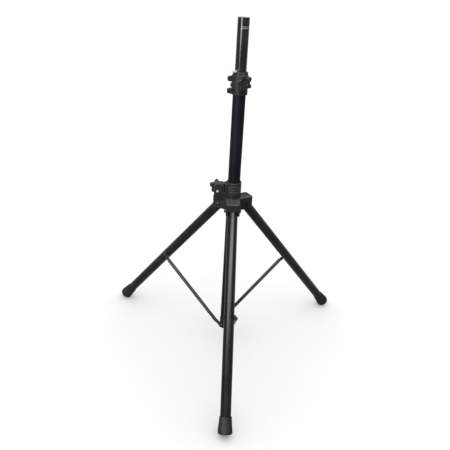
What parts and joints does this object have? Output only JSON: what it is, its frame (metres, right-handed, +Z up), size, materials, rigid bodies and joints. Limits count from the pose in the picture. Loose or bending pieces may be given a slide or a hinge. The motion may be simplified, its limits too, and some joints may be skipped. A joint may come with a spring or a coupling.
{
  "type": "speaker stand",
  "caption": "Folding tripod stand for a loudspeaker: splayed tubular legs with braces, a sliding yoke, a telescopic pole with clamp knobs and a safety pin.",
  "frame": {"origin": "the point on the floor under the pole's axis, with the feet standing on the floor plane", "axes": "+Z up along the pole; the front leg points to -Y, the other legs to 30 and 150 degrees"},
  "size_m": [0.8606, 0.7512, 1.13],
  "materials": {
    "inner_tube_paint": "gloss",
    "outer_tube_paint": "satin",
    "leg_paint": "satin",
    "brace_paint": "satin",
    "moulded_black": "fine grain",
    "knob_plastic": "fine grain",
    "cap_plastic": "smooth",
    "bush_nylon": "smooth",
    "zinc_steel": "bright zinc",
    "dark_steel": "black zinc",
    "brass": "turned",
    "foot_rubber": "matte"
  },
  "bodies": {
    "yoke": {"leg_yoke": "moulded_black", "yoke_liner": "bush_nylon", "yoke_clamp_nut": "dark_steel", "leg_pivot_bolts": "dark_steel", "leg_pivot_nuts": "dark_steel"},
    "mast": {"outer_tube": "outer_tube_paint", "upper_collar": "moulded_black", "collar_bush": "bush_nylon", "collar_thread_insert": "brass", "collar_screws": "dark_steel", "lower_collar": "moulded_black"},
    "height_slider": {"guide_bush": "bush_nylon"},
    "inner_mast": {"inner_tube": "inner_tube_paint", "top_cap": "cap_plastic"},
    "safety_pin": {"safety_pin": "zinc_steel"},
    "collar_pad": {"collar_pressure_pad": "bush_nylon"},
    "collar_knob": {"collar_knob": "knob_plastic", "collar_knob_stud": "zinc_steel"},
    "yoke_washer": {"yoke_clamp_washer": "zinc_steel"},
    "yoke_knob": {"yoke_knob": "knob_plastic", "yoke_knob_stud": "zinc_steel"},
    "leg_front": {"leg_tube_front": "leg_paint", "leg_head_front": "moulded_black", "leg_foot_front": "foot_rubber", "brace_rivet_front": "dark_steel"},
    "brace_front": {"brace_front": "brace_paint", "brace_screw_front": "dark_steel"},
    "leg_right": {"leg_tube_right": "leg_paint", "leg_head_right": "moulded_black", "leg_foot_right": "foot_rubber", "brace_rivet_right": "dark_steel"},
    "brace_right": {"brace_right": "brace_paint", "brace_screw_right": "dark_steel"},
    "leg_left": {"leg_tube_left": "leg_paint", "leg_head_left": "moulded_black", "leg_foot_left": "foot_rubber", "brace_rivet_left": "dark_steel"},
    "brace_left": {"brace_left": "brace_paint", "brace_screw_left": "dark_steel"}
  },
  "joints": [
    {"name": "leg_fold", "type": "hinge", "parent": "yoke", "child": "leg_front", "pos_m": [0, -0.046, 0.545], "axis": [1, 0, 0], "range_deg": [0, 39]},
    {"name": "leg_fold_right", "type": "hinge", "parent": "yoke", "child": "leg_right", "pos_m": [0.03984, 0.023, 0.545], "axis": [-0.5, 0.866, 0], "range_deg": [0, 39]},
    {"name": "leg_fold_left", "type": "hinge", "parent": "yoke", "child": "leg_left", "pos_m": [-0.03984, 0.023, 0.545], "axis": [-0.5, -0.866, 0], "range_deg": [0, 39]},
    {"name": "brace_fold_front", "type": "hinge", "parent": "leg_front", "child": "brace_front", "pos_m": [0.01855, -0.2628, 0.27727], "axis": [1, 0, 0], "range_deg": [-82.06, 0]},
    {"name": "brace_fold_right", "type": "hinge", "parent": "leg_right", "child": "brace_right", "pos_m": [0.21832, 0.14747, 0.27727], "axis": [-0.5, 0.866, 0], "range_deg": [-82.06, 0]},
    {"name": "brace_fold_left", "type": "hinge", "parent": "leg_left", "child": "brace_left", "pos_m": [-0.23687, 0.11534, 0.27727], "axis": [-0.5, -0.866, 0], "range_deg": [-82.06, 0]},
    {"name": "mast_drop", "type": "slide", "parent": "yoke", "child": "mast", "axis": [0, 0, -1], "range_m": [0, 0.19386]},
    {"name": "height_slide", "type": "slide", "parent": "mast", "child": "height_slider", "axis": [0, 0, 1], "range_m": [0, 0.6]},
    {"name": "mast_swivel", "type": "hinge", "parent": "height_slider", "child": "inner_mast", "pos_m": [0, 0, 1.13], "axis": [0, 0, 1], "continuous": true},
    {"name": "safety_pin_pull", "type": "slide", "parent": "inner_mast", "child": "safety_pin", "axis": [-0.6293, -0.7771, 0], "range_m": [0, 0.045]},
    {"name": "collar_pad_slide", "type": "slide", "parent": "mast", "child": "collar_pad", "axis": [0.225, -0.9744, 0], "range_m": [0, 0.00188]},
    {"name": "collar_knob_turn", "type": "hinge", "parent": "collar_pad", "child": "collar_knob", "pos_m": [0.00787, -0.0341, 0.957], "axis": [0.225, -0.9744, 0], "range_deg": [0, 540]},
    {"name": "yoke_washer_slide", "type": "slide", "parent": "yoke", "child": "yoke_washer", "axis": [-0.0872, 0.9962, 0], "range_m": [0, 0.00188]},
    {"name": "yoke_knob_turn", "type": "hinge", "parent": "yoke_washer", "child": "yoke_knob", "pos_m": [-0.0538, -0.00471, 0.6], "axis": [-0.0872, 0.9962, 0], "range_deg": [0, 540]}
  ],
  "couplings": [
    {"joint": "leg_fold_right", "follows": "leg_fold", "ratio": 1},
    {"joint": "leg_fold_left", "follows": "leg_fold", "ratio": 1},
    {"joint": "brace_fold_front", "follows": "leg_fold", "ratio": -2.1039},
    {"joint": "brace_fold_right", "follows": "leg_fold", "ratio": -2.1039},
    {"joint": "brace_fold_left", "follows": "leg_fold", "ratio": -2.1039},
    {"joint": "mast_drop", "follows": "leg_fold", "m_per_rad": 0.28479},
    {"joint": "collar_pad_slide", "follows": "collar_knob_turn", "m_per_rad": 0.00019894},
    {"joint": "yoke_washer_slide", "follows": "yoke_knob_turn", "m_per_rad": 0.00019894}
  ]
}
